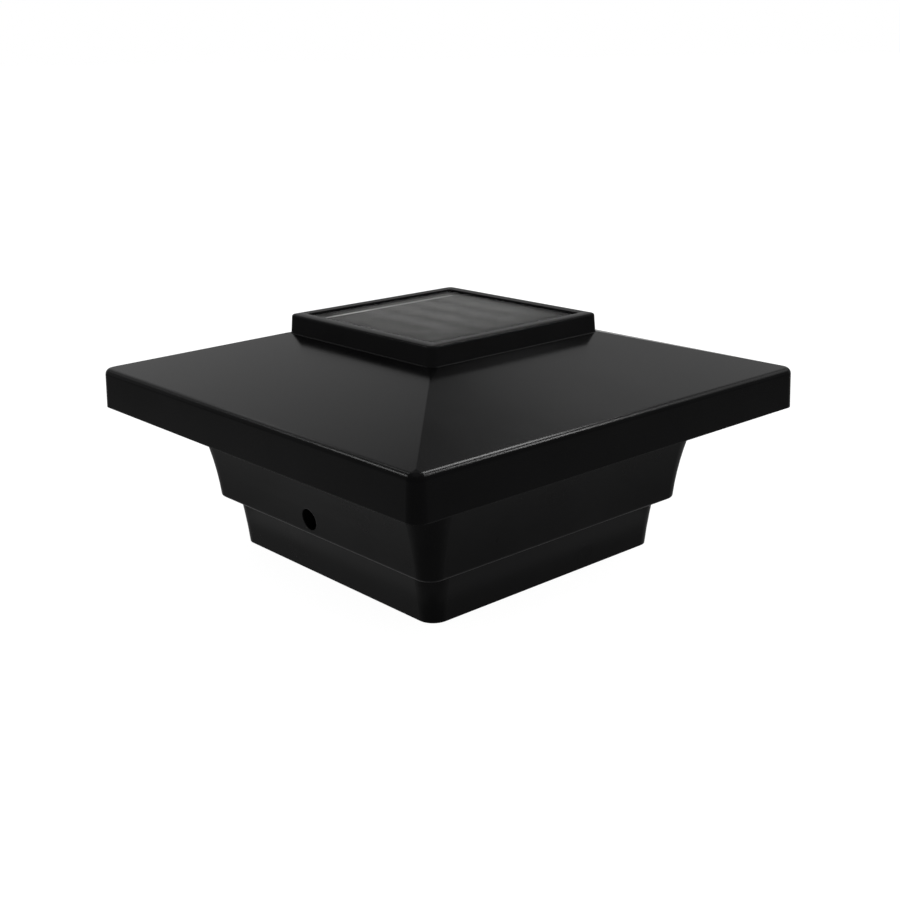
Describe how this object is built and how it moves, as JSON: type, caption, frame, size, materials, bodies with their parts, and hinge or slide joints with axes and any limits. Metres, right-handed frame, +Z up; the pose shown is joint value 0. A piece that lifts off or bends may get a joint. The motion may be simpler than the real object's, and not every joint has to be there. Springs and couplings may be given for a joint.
{
  "type": "deck post cap light",
  "caption": "Square solar cap light for a deck post: a low hipped roof with a raised solar panel over a stepped, coved socket; lamps under the eave shine down.",
  "frame": {"origin": "centre of the base's foot, at the height of the foot's lower face", "axes": "+Z up, through the solar panel; -Y and +Y through the two walls with a post screw hole, -Y being the left one of the two walls that the picture shows"},
  "size_m": [0.16, 0.16, 0.0774],
  "materials": {
    "black_housing": "satin, fine moulded grain",
    "black_rim": "satin gloss",
    "frosted_lens": "frosted, translucent",
    "white_board": "white solder mask",
    "lamp_body": "phosphor yellow in a white body",
    "panel_backing": "dark solder mask",
    "solar_cell": "dark silicon with an anti-reflection coat",
    "tinned_ribbon": "tinned",
    "clear_cover": "clear, slightly wavy cast resin",
    "soft_seal": "soft foam",
    "green_board": "green solder mask",
    "chip_black": "moulded",
    "capacitor_sleeve": "shrink sleeve",
    "socket_nylon": "natural nylon",
    "switch_can": "pressed tinplate",
    "knob_plastic": "moulded",
    "box_plastic": "moulded",
    "battery_wrap": "plain shrink wrap",
    "plated_contact": "nickel plated",
    "zinc_screw": "zinc plated",
    "wire_sleeve": "PVC sleeve"
  },
  "bodies": {
    "cap": {"roof_shell": "black_housing", "panel_rim": "black_rim", "panel_adhesive": "soft_seal", "panel_board": "panel_backing", "solar_cells": "solar_cell", "cell_ribbons": "tinned_ribbon", "panel_cover": "clear_cover", "coved_base": "black_housing", "housing_seal": "soft_seal", "front_lens": "frosted_lens", "right_lens": "frosted_lens", "back_lens": "frosted_lens", "left_lens": "frosted_lens", "front_lamp_board": "white_board", "right_lamp_board": "white_board", "back_lamp_board": "white_board", "left_lamp_board": "white_board", "front_lamps": "lamp_body", "right_lamps": "lamp_body", "back_lamps": "lamp_body", "left_lamps": "lamp_body", "circuit_board": "green_board", "board_chips": "chip_black", "charge_capacitor": "capacitor_sleeve", "wire_sockets": "socket_nylon", "switch_body": "switch_can", "battery_box": "box_plastic", "battery": "battery_wrap", "positive_contact": "plated_contact", "negative_contact": "plated_contact", "contact_spring": "plated_contact", "housing_screws": "zinc_screw", "rim_screws": "zinc_screw", "board_screws": "zinc_screw", "lamp_board_screws": "zinc_screw", "box_screws": "zinc_screw", "panel_leads": "wire_sleeve", "battery_leads": "wire_sleeve", "lamp_leads": "wire_sleeve"},
    "battery_door": {"battery_door": "black_housing", "door_seal": "soft_seal"},
    "switch_knob": {"switch_knob": "knob_plastic"}
  },
  "joints": [
    {"name": "battery_door_hinge", "type": "hinge", "parent": "cap", "child": "battery_door", "pos_m": [0, -0.0249, 0.0334], "axis": [-1, 0, 0], "range_deg": [0, 95]},
    {"name": "power_switch_slide", "type": "slide", "parent": "cap", "child": "switch_knob", "axis": [1, 0, 0], "range_m": [0, 0.0024]}
  ]
}
